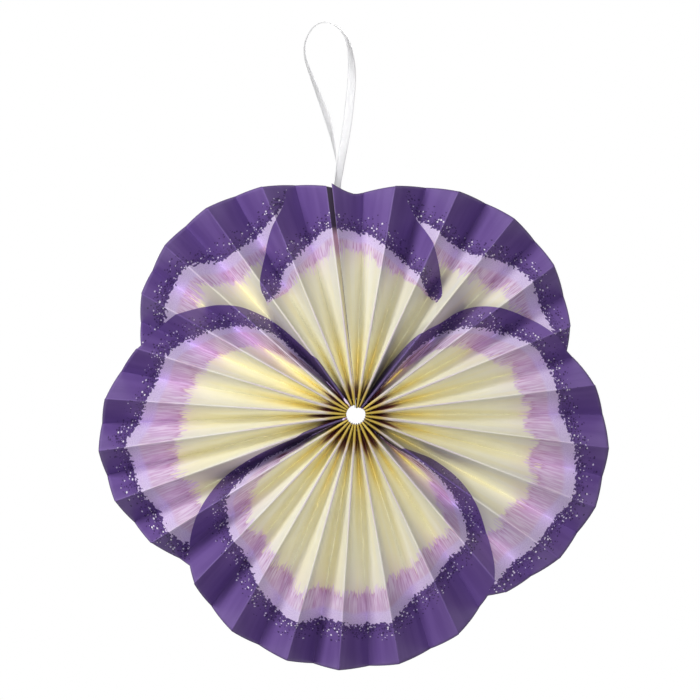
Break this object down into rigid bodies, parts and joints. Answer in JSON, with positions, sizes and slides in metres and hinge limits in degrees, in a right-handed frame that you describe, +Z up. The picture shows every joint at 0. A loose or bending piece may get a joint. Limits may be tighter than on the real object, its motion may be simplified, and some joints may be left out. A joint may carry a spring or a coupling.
{
  "type": "paper fan rosette",
  "caption": "Round pleated paper rosette with a scalloped rim and a flower print, gathered round an open centre and hung on a ribbon loop.",
  "frame": {"origin": "inside top of the ribbon loop, where a nail or hook carries the rosette", "axes": "+Z up; -Y is the printed front, the way it faces on a wall; +X to the right, seen from the front"},
  "size_m": [0.406, 0.0374, 0.5175],
  "materials": {
    "printed_card": "matt card printed on one side with a purple, mauve and pale yellow flower, white behind",
    "satin_ribbon": "white satin",
    "cotton_thread": "undyed twisted cotton",
    "double_sided_tape": "pale adhesive tissue tape"
  },
  "bodies": {
    "root": {"pleated_fan": "printed_card", "ribbon_loop": "satin_ribbon", "gathering_thread": "cotton_thread", "join_tape": "double_sided_tape"}
  },
  "joints": []
}
